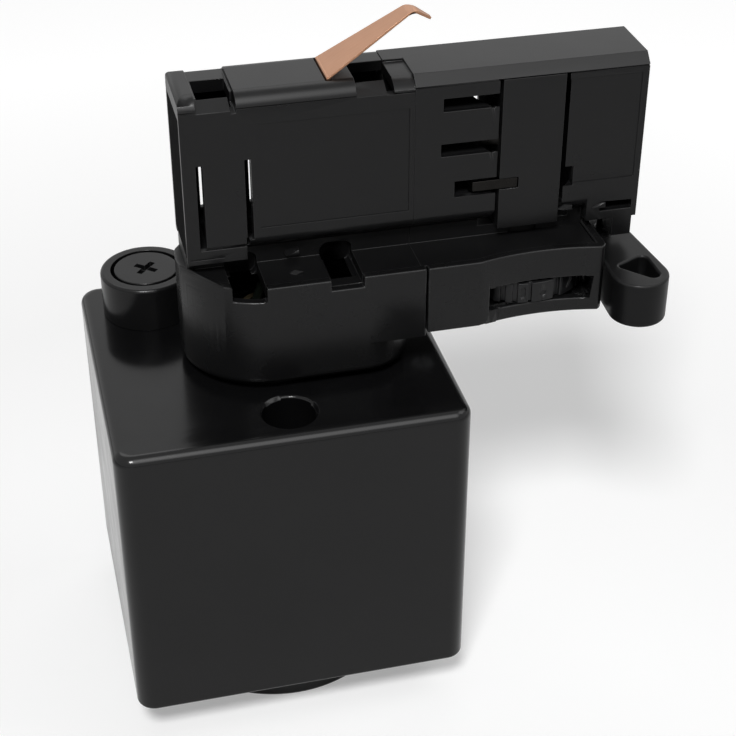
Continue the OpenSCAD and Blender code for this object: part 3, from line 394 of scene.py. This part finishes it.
def moulded(name, colour, rough, grain=2600.0, depth=0.3, cloud=70.0, ior=1.30, sheen=1.0, hollow=False):
    """Moulded plastic; depth is the grain's depth in thousandths of a millimetre."""
    material, tree = new_tree(name)
    where = add(tree, "TexCoord")
    clouds = noise(tree, where, cloud, detail=4.0, roughness=0.6)
    flow = noise(tree, where, FLOW_SCALE, detail=2.0, roughness=0.4, stretch=FLOW_STRETCH)
    gloss = spread(tree, clouds, "Fac", rough - CLOUD_CHANGE, rough + CLOUD_CHANGE)
    roughness = add(tree, "Math", operation="ADD")
    join(tree, gloss, "Result", roughness, 0)
    join(tree, spread(tree, flow, "Fac", -FLOW_CHANGE, FLOW_CHANGE), "Result", roughness, 1)
    shader = add(tree, "BsdfPrincipled", {"IOR": ior})
    # Painted shade in the insert's hollows
    if hollow:
        roughness = paint_hollow_shade(tree, where, shader, roughness)
    join(tree, tint_with_sheen(tree, colour, sheen, clouds), "Result", shader, "Base Color")
    join(tree, roughness, "Value", shader, "Roughness")
    join(tree, relief(tree, where, grain, depth * 0.001 * MM), "Normal", shader, "Normal")
    out = add(tree, "OutputMaterial")
    join(tree, shader, "BSDF", out, "Surface")
    return material


def metal(name, colour, rough, brush=(1, 1, 1), turn=(0, 0, 0), scale=900.0, tarnish=0.82):
    """Rolled or plated metal: brushed lines, soft tarnish and a little uneven gloss."""
    material, tree = new_tree(name)
    where = add(tree, "TexCoord")
    lines = noise(tree, where, scale, detail=3.0, roughness=0.6, stretch=brush, turn=turn)
    clouds = noise(tree, where, TARNISH_SCALE, detail=4.0, roughness=0.55)
    dark, pale = rgba(colour, tarnish), rgba(colour, METAL_PALE)
    tint = add(tree, "Mix", {"A": dark, "B": pale}, data_type="RGBA")
    join(tree, clouds, "Fac", tint, "Factor")
    gloss = spread(tree, lines, "Fac", rough - LINE_SMOOTHER, rough + LINE_ROUGHER)
    bump = add(tree, "Bump", {"Strength": LINE_STRENGTH, "Distance": LINE_DEPTH})
    join(tree, lines, "Fac", bump, "Height")
    shader = add(tree, "BsdfPrincipled", {"Metallic": 1.0})
    join(tree, tint, "Result", shader, "Base Color")
    join(tree, gloss, "Result", shader, "Roughness")
    join(tree, bump, "Normal", shader, "Normal")
    out = add(tree, "OutputMaterial")
    join(tree, shader, "BSDF", out, "Surface")
    return material


def sheath(name, colour):
    """Soft cable sheath with a slight bloom."""
    return moulded(name, colour, rough=0.42, grain=1800.0, cloud=240.0, sheen=0.0)


def fuse_tube(name):
    """Frosted fuse body: pale ceramic with faint speckles."""
    return moulded(name, PALE_CERAMIC, rough=0.35, grain=1500.0, cloud=300.0, sheen=0.0)


# Mesh building


def welded(node):
    """A welded copy of a CAD node's mesh with its flat faces made whole."""
    bm = bmesh.new()
    bm.from_mesh(frame["nodes"][node].data)
    bmesh.ops.remove_doubles(bm, verts=bm.verts, dist=WELD)
    bmesh.ops.dissolve_limit(
        bm, angle_limit=FLAT, use_dissolve_boundaries=False, verts=bm.verts, edges=bm.edges
    )
    return bm


def free_width(edge, face):
    """Least width of a face beside one of its edges; seams in a flat don't count as its far side."""
    loop = next(place for place in face.loops if place.edge == edge)
    start = loop.vert.co
    along = loop.link_loop_next.vert.co - start
    ahead, inward = along.normalized(), face.normal.cross(along).normalized()
    least = WIDEST
    for share in MEASURED_AT:
        here = start + along * share
        for other in face.edges:
            if other == edge or other.calc_face_angle(1.0) < SEAM:
                continue
            a, b = (v.co - here for v in other.verts)
            au, bu = a.dot(ahead), b.dot(ahead)
            if (au > 0) != (bu > 0):
                reach = a.dot(inward) + au / (au - bu) * (b - a).dot(inward)
                if reach > LEAST_WIDTH:
                    least = min(least, reach)
    return least


def round_edges(bm, width, steps):
    """Rounds the sharp edges that have room for width on both sides, and marks the new faces."""
    mark = bm.faces.layers.float.get(ROUNDED_MARK) or bm.faces.layers.float.new(ROUNDED_MARK)
    bm.normal_update()
    edges = [
        e
        for e in bm.edges
        if len(e.link_faces) == 2
        and e.calc_face_angle(0.0) > SHARP
        and min(free_width(e, f) for f in e.link_faces) > ROOM * width
    ]
    wide = [f for f in bm.faces if len(f.verts) > 4]
    bmesh.ops.triangulate(bm, faces=wide, quad_method="BEAUTY", ngon_method="BEAUTY")
    made = bmesh.ops.bevel(
        bm,
        geom=edges,
        offset=width,
        offset_type="OFFSET",
        segments=steps,
        profile=0.5,
        affect="EDGES",
        clamp_overlap=False,
        loop_slide=False,
        material=-1,
    )
    for face in made["faces"]:
        face[mark] = 1.0
    bmesh.ops.dissolve_degenerate(bm, dist=WELD, edges=bm.edges)
    return bm


def piece(name, bm, material, body, nodes=()):
    """Makes a finished object from a bmesh, at the origin, riding on its body."""
    mesh = bpy.data.meshes.new(name)
    bm.to_mesh(mesh)
    bm.free()
    made = bpy.data.objects.new(name, mesh)
    bpy.context.scene.collection.objects.link(made)
    mesh.materials.append(material)
    for polygon in mesh.polygons:
        polygon.use_smooth = True
    mesh.set_sharp_from_angle(angle=SMOOTH)
    weighted = made.modifiers.new("Weighted normals", "WEIGHTED_NORMAL")
    weighted.keep_sharp = True
    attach(made, body)
    if nodes:
        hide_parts(*nodes)
    return made


def dress(node, name, material, width, steps=0):
    """Replaces a CAD node by a copy of it with rounded edges and a finish; 0 steps means the usual number."""
    steps = steps or bpy.context.scene.outlet_sizes.round_steps
    bm = round_edges(welded(node), width, steps)
    return piece(name, bm, material, BODY_OF[node], (node,))


def coat(material, *nodes):
    """Gives CAD nodes that keep their shape a finish."""
    for node in nodes:
        shown = frame["nodes"][node]
        if not shown.data.materials:
            shown.data.materials.append(None)
        for place in shown.material_slots:
            place.link = "OBJECT"
            place.material = material


# Operators


class OUTLET_OT_housing(bpy.types.Operator):
    """Housing, socket and spacer ring"""

    bl_idname = "outlet.housing"
    bl_label = "Housing and socket"

    def execute(self, context):
        sizes, colours = context.scene.outlet_sizes, context.scene.outlet_colours
        black, sheen = colours.housing, colours.sheen
        shell = moulded(
            "housing_plastic", black, colours.gloss, grain=2100.0, depth=0.25, ior=HOUSING_IOR, sheen=sheen
        )
        socket = moulded("socket_plastic", black, colours.satin, sheen=sheen)
        dress("housing", "housing_dressed", shell, sizes.fine_round)
        dress("socket_insert", "socket_dressed", socket, sizes.edge_round)
        dress("spacer_ring", "spacer_dressed", socket, sizes.fine_round)
        return {"FINISHED"}


class OUTLET_OT_fuse(bpy.types.Operator):
    """Fuse holder, its cap, its nut and the fuse"""

    bl_idname = "outlet.fuse"
    bl_label = "Fuse holder"

    def execute(self, context):
        sizes, colours = context.scene.outlet_sizes, context.scene.outlet_colours
        rough = colours.satin - FUSE_SMOOTHER
        plastic = moulded("fuse_plastic", colours.adapter, rough, grain=3200.0, sheen=colours.sheen)
        dress("fuse_holder", "fuse_holder_dressed", plastic, sizes.fine_round)
        dress("fuse_cap", "fuse_cap_dressed", plastic, sizes.fine_round)
        coat(plastic, "fuse_nut")
        coat(fuse_tube("fuse_body"), "fuse")
        return {"FINISHED"}


class OUTLET_OT_adapter(bpy.types.Operator):
    """Adapter base and arm"""

    bl_idname = "outlet.adapter"
    bl_label = "Adapter base and arm"

    def execute(self, context):
        sizes, colours = context.scene.outlet_sizes, context.scene.outlet_colours
        rough = colours.satin - BASE_SMOOTHER
        plastic = moulded("adapter_plastic", colours.adapter, rough, depth=0.4, sheen=colours.sheen)
        dress("adapter_base", "adapter_base_dressed", plastic, sizes.edge_round)
        dress("adapter_arm", "adapter_arm_dressed", plastic, sizes.edge_round)
        return {"FINISHED"}


def insert_plastic(name, colours):
    """Satin plastic of the insert and its tower, with painted shade inside the hollows."""
    return moulded(name, colours.adapter, colours.satin, depth=0.5, sheen=colours.sheen, hollow=True)


class OUTLET_OT_insert(bpy.types.Operator):
    """Insert that slides into the track, with the small lugs on its front and foot"""

    bl_idname = "outlet.insert"
    bl_label = "Track insert"

    def execute(self, context):
        sizes, colours = context.scene.outlet_sizes, context.scene.outlet_colours
        plastic = insert_plastic("insert_plastic", colours)
        dress("insert_shell", "insert_shell_dressed", plastic, sizes.fine_round)
        dress("insert_block", "insert_block_dressed", plastic, sizes.fine_round)
        bm = bmesh.new()
        for middle, size in LUGS:
            self.add_lug(bm, Vector(middle) * MM, Vector(size) * MM)
        round_edges(bm, sizes.fine_round, sizes.round_steps)
        piece("insert_lugs", bm, plastic, "outlet")
        return {"FINISHED"}

    def add_lug(self, bm, middle, size):
        """Block whose upper front edge is cut away to a slope."""
        place = Matrix.Translation(middle) @ Matrix.Diagonal((*size, 1.0))
        made = bmesh.ops.create_cube(bm, size=1.0, matrix=place)
        own = set(made["verts"])
        edges = [e for e in bm.edges if own.issuperset(e.verts)]
        faces = [f for f in bm.faces if own.issuperset(f.verts)]
        cut = bmesh.ops.bisect_plane(
            bm,
            geom=[*own, *edges, *faces],
            plane_co=middle + Vector((0, -size.y * LUG_CUT, size.z * LUG_CUT)),
            plane_no=Vector(LUG_SLOPE).normalized(),
            clear_outer=True,
        )
        rim = [e for e in cut["geom_cut"] if isinstance(e, bmesh.types.BMEdge)]
        bmesh.ops.contextual_create(bm, geom=rim)


class OUTLET_OT_selector(bpy.types.Operator):
    """Selector tower, its wheel, its blades and the spring that holds it"""

    bl_idname = "outlet.selector"
    bl_label = "Phase selector"

    def execute(self, context):
        sizes, colours = context.scene.outlet_sizes, context.scene.outlet_colours
        plastic = insert_plastic("tower_plastic", colours)
        wheel = moulded("wheel_plastic", colours.wheel, colours.satin, sheen=colours.sheen)
        # Blades painted near black as the shade in their slots
        dark = metal("blackened_brass", BLADE_BRASS_IN_SHADE, rough=0.30, tarnish=0.7)
        dress("contact_rotor", "tower_dressed", plastic, sizes.fine_round)
        dress("selector_wheel", "wheel_dressed", wheel, sizes.fine_round)
        dress("phase_blades", "phase_blades_dressed", dark, sizes.fine_round)
        dress("neutral_blade", "neutral_blade_dressed", dark, sizes.fine_round)
        coat(metal("spring_steel", SPRING_STEEL, rough=0.28), "detent_spring")
        return {"FINISHED"}


class OUTLET_OT_lever(bpy.types.Operator):
    """Locking lever and its cam"""

    bl_idname = "outlet.lever"
    bl_label = "Locking lever"

    def execute(self, context):
        sizes, colours = context.scene.outlet_sizes, context.scene.outlet_colours
        plastic = moulded("lever_plastic", colours.adapter, colours.satin, ior=LEVER_IOR, sheen=colours.sheen)
        steel = metal("plated_steel", PLATED_STEEL, rough=0.34)
        dress("locking_lever", "lever_dressed", plastic, sizes.lever_round, LEVER_STEPS)
        dress("locking_cam", "cam_dressed", steel, sizes.fine_round)
        return {"FINISHED"}


class OUTLET_OT_leaf(bpy.types.Operator):
    """Copper earth leaf"""

    bl_idname = "outlet.leaf"
    bl_label = "Earth leaf"

    def execute(self, context):
        sizes, colours = context.scene.outlet_sizes, context.scene.outlet_colours
        turn = (0, LEAF_RISE, 0)
        copper = metal("copper", colours.leaf, rough=0.36, brush=LEAF_BRUSH, turn=turn, scale=LEAF_LINES)
        bm = round_edges(welded("earth_leaf"), sizes.leaf_round, LEAF_STEPS)
        self.shape_tip(bm)
        self.add_fold(bm)
        piece("earth_leaf_dressed", bm, copper, BODY_OF["earth_leaf"], ("earth_leaf",))
        return {"FINISHED"}

    def shape_tip(self, bm):
        """Narrows the leaf towards its tip and bends its hook a little flatter."""
        start = Vector(HOOK_BEND) * MM
        for vert in bm.verts:
            run = min(1.0, max(0.0, (vert.co.x / MM - LEAF_FOOT) / (HOOK_BEND[0] - LEAF_FOOT)))
            hook = min(1.0, max(0.0, (vert.co.x / MM - HOOK_BEND[0]) / (LEAF_TIP - HOOK_BEND[0])))
            vert.co.y *= (1.0 - BODY_TAPER * run) * (1.0 - HOOK_TAPER * hook)
            turn = -HOOK_LIFT * min(1.0, hook / HOOK_BEND_SHARE)
            vert.co = start + Matrix.Rotation(turn, 3, "Y") @ (vert.co - start)

    def add_fold(self, bm):
        """Rounds the fold at the leaf's foot with a bead across its width."""
        low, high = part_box("earth_leaf")
        bmesh.ops.create_cone(
            bm,
            cap_ends=True,
            segments=FOLD_SIDES,
            radius1=FOLD_RADIUS * MM,
            radius2=FOLD_RADIUS * MM,
            depth=high.y - low.y - FOLD_SHORTER * MM,
            matrix=Matrix.Translation(Vector(FOLD) * MM) @ Matrix.Rotation(radians(90), 4, "X"),
        )


class OUTLET_OT_inner(bpy.types.Operator):
    """Screws, contacts and leads inside"""

    bl_idname = "outlet.inner"
    bl_label = "Screws, contacts and leads"

    def execute(self, context):
        steel = metal("screw_steel", SCREW_STEEL, rough=0.30)
        coat(steel, "terminal_screws", "housing_screws", "adapter_screws", "fuse_contact")
        coat(metal("brass", BRASS, rough=0.28), "pin_sleeves", "earth_bow")
        # Earth clamp and nipple brass darkened as painted shade
        coat(metal("aged_brass", BRASS_IN_SHADE, rough=0.40), "earth_clamp", "nipple", "nipple_nuts")
        # Sheaths in colours darkened as painted shade
        coat(sheath("brown_sheath", SHADED_BROWN), "fuse_lead", "line_lead")
        coat(sheath("blue_sheath", SHADED_BLUE), "neutral_lead")
        coat(sheath("green_sheath", SHADED_GREEN), "earth_lead")
        return {"FINISHED"}


class OUTLET_OT_stage(bpy.types.Operator):
    """Floor, light and camera"""

    bl_idname = "outlet.stage"
    bl_label = "Stage"

    def execute(self, context):
        stage = context.scene.outlet_stage
        self.make_floor(stage)
        self.make_sky(context.scene, stage)
        self.make_lamps(stage)
        self.make_camera(context.scene, stage)
        context.scene.view_settings.view_transform = "Standard"
        return {"FINISHED"}

    def seen(self, tree, *kinds):
        """1 for the rays of the named kinds, else 0."""
        path = add(tree, "LightPath")
        last = None
        for kind in kinds:
            both = add(tree, "Math", {1: 0.0}, operation="MAXIMUM")
            join(tree, path, kind, both, 0)
            if last:
                join(tree, last, "Value", both, 1)
            last = both
        return last

    def make_floor(self, stage):
        """Pale floor that takes the object's shadow; its lift is seen by the camera and in mirrors only."""
        bm = bmesh.new()
        bmesh.ops.create_grid(bm, x_segments=2, y_segments=2, size=FLOOR_HALF)
        mesh = bpy.data.meshes.new("floor")
        bm.to_mesh(mesh)
        bm.free()
        floor = bpy.data.objects.new("floor", mesh)
        bpy.context.scene.collection.objects.link(floor)
        mesh.materials.append(self.floor_white(stage))

    def floor_white(self, stage):
        """Material of the floor, whose lift grows away from the object."""
        material, tree = new_tree("floor_white")
        lit = add(tree, "BsdfDiffuse", {"Color": (stage.floor,) * 3 + (1.0,)})
        glow = add(tree, "Emission", {"Color": (1.0, 1.0, 1.0, 1.0)})
        away = add(tree, "VectorMath", operation="LENGTH")
        join(tree, add(tree, "TexCoord"), "Object", away, "Vector")
        near, far = stage.floor_lift, stage.floor_lift + LIFT_GROWTH
        lift = add(
            tree, "MapRange", {"From Min": LIFT_FROM, "From Max": LIFT_TO, "To Min": near, "To Max": far}
        )
        join(tree, away, "Value", lift, "Value")
        share = add(tree, "Math", operation="MULTIPLY")
        join(tree, self.seen(tree, "Is Camera Ray", "Is Transmission Ray"), "Value", share, 0)
        join(tree, lift, "Result", share, 1)
        mirrored = add(tree, "Math", {1: stage.floor_lift * LIFT_MIRRORED}, operation="MULTIPLY_ADD")
        join(tree, self.seen(tree, "Is Glossy Ray"), "Value", mirrored, 0)
        join(tree, share, "Value", mirrored, 2)
        join(tree, mirrored, "Value", glow, "Strength")
        both = add(tree, "AddShader")
        join(tree, lit, "BSDF", both, 0)
        join(tree, glow, "Emission", both, 1)
        out = add(tree, "OutputMaterial")
        join(tree, both, "Shader", out, "Surface")
        return material

    def make_sky(self, scene, stage):
        """White for the camera, faint as light, and in mirrors bright with a soft box over the front."""
        world = bpy.data.worlds.new("sky")
        scene.world = world
        world.use_nodes = True
        tree = world.node_tree
        tree.nodes.clear()
        lean = add(tree, "VectorMath", {1: Vector(SOFT_BOX_WAY).normalized()}, operation="DOT_PRODUCT")
        join(tree, add(tree, "TexCoord"), "Generated", lean, 0)
        plain = stage.sky_seen - stage.sky
        bright = plain + stage.soft_box
        glow = add(
            tree,
            "MapRange",
            {"From Min": SOFT_BOX_RIM, "From Max": SOFT_BOX_CORE, "To Min": plain, "To Max": bright},
            interpolation_type="SMOOTHSTEP",
        )
        join(tree, lean, "Value", glow, "Value")
        mirrored = add(tree, "Math", {2: stage.sky}, operation="MULTIPLY_ADD")
        join(tree, self.seen(tree, "Is Glossy Ray"), "Value", mirrored, 0)
        join(tree, glow, "Result", mirrored, 1)
        strength = add(tree, "Math", {1: 1.0 - stage.sky}, operation="MULTIPLY_ADD")
        join(tree, self.seen(tree, "Is Camera Ray", "Is Transmission Ray"), "Value", strength, 0)
        join(tree, mirrored, "Value", strength, 2)
        sky = add(tree, "Background", {"Color": (1.0, 1.0, 1.0, 1.0)})
        join(tree, strength, "Value", sky, "Strength")
        out = add(tree, "OutputWorld")
        join(tree, sky, "Background", out, "Surface")

    def make_lamps(self, stage):
        """Key at the front left, a wide soft lamp above and behind, and a fill at the right."""
        middle = Vector(OBJECT_MIDDLE)
        for name, way, far, wide, tall, power in LAMPS:
            data = bpy.data.lights.new(name, "AREA")
            data.shape = "RECTANGLE"
            data.size = wide
            data.size_y = tall
            data.energy = getattr(stage, power)
            lamp = bpy.data.objects.new(name, data)
            bpy.context.scene.collection.objects.link(lamp)
            way = Vector(way).normalized()
            lamp.location = middle + way * far
            lamp.rotation_euler = way.to_track_quat("Z", "Y").to_euler()

    def make_camera(self, scene, stage):
        """Camera at the photograph's place and angle."""
        data = bpy.data.cameras.new("camera")
        data.lens = stage.lens
        data.sensor_width = SENSOR
        data.clip_start = CLIP_START
        data.clip_end = CLIP_END
        camera = bpy.data.objects.new("camera", data)
        scene.collection.objects.link(camera)
        ahead, right = Vector(AHEAD), Vector(RIGHT)
        turn = Matrix((right, right.cross(ahead), -ahead)).transposed()
        camera.matrix_world = Matrix.Translation(Vector(EYE) * MM) @ turn.to_4x4()
        scene.camera = camera


class OUTLET_PT_panel(bpy.types.Panel):
    """Lists the outlet's sizes, colours and pieces"""

    bl_label = "Track socket outlet"
    bl_idname = "OUTLET_PT_panel"
    bl_space_type = "VIEW_3D"
    bl_region_type = "UI"
    bl_category = "Outlet"

    def draw(self, context):
        scene = context.scene
        for group in (scene.outlet_sizes, scene.outlet_colours, scene.outlet_stage):
            column = self.layout.column()
            for key in group.__annotations__:
                column.prop(group, key)
        for step in STEPS:
            self.layout.operator(step.bl_idname)


STEPS = (
    OUTLET_OT_stage,
    OUTLET_OT_housing,
    OUTLET_OT_fuse,
    OUTLET_OT_adapter,
    OUTLET_OT_insert,
    OUTLET_OT_selector,
    OUTLET_OT_lever,
    OUTLET_OT_leaf,
    OUTLET_OT_inner,
)
CLASSES = (OutletSizes, OutletColours, OutletStage, *STEPS, OUTLET_PT_panel)


def register():
    """Makes the classes and the scene's settings known to Blender."""
    for kind in CLASSES:
        bpy.utils.register_class(kind)
    bpy.types.Scene.outlet_sizes = PointerProperty(type=OutletSizes)
    bpy.types.Scene.outlet_colours = PointerProperty(type=OutletColours)
    bpy.types.Scene.outlet_stage = PointerProperty(type=OutletStage)


def unregister():
    """Takes them away again."""
    del bpy.types.Scene.outlet_stage
    del bpy.types.Scene.outlet_colours
    del bpy.types.Scene.outlet_sizes
    for kind in reversed(CLASSES):
        bpy.utils.unregister_class(kind)


def main():
    """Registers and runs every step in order."""
    register()
    for step in STEPS:
        group, name = step.bl_idname.split(".")
        getattr(getattr(bpy.ops, group), name)()


if __name__ == "__main__":
    main()
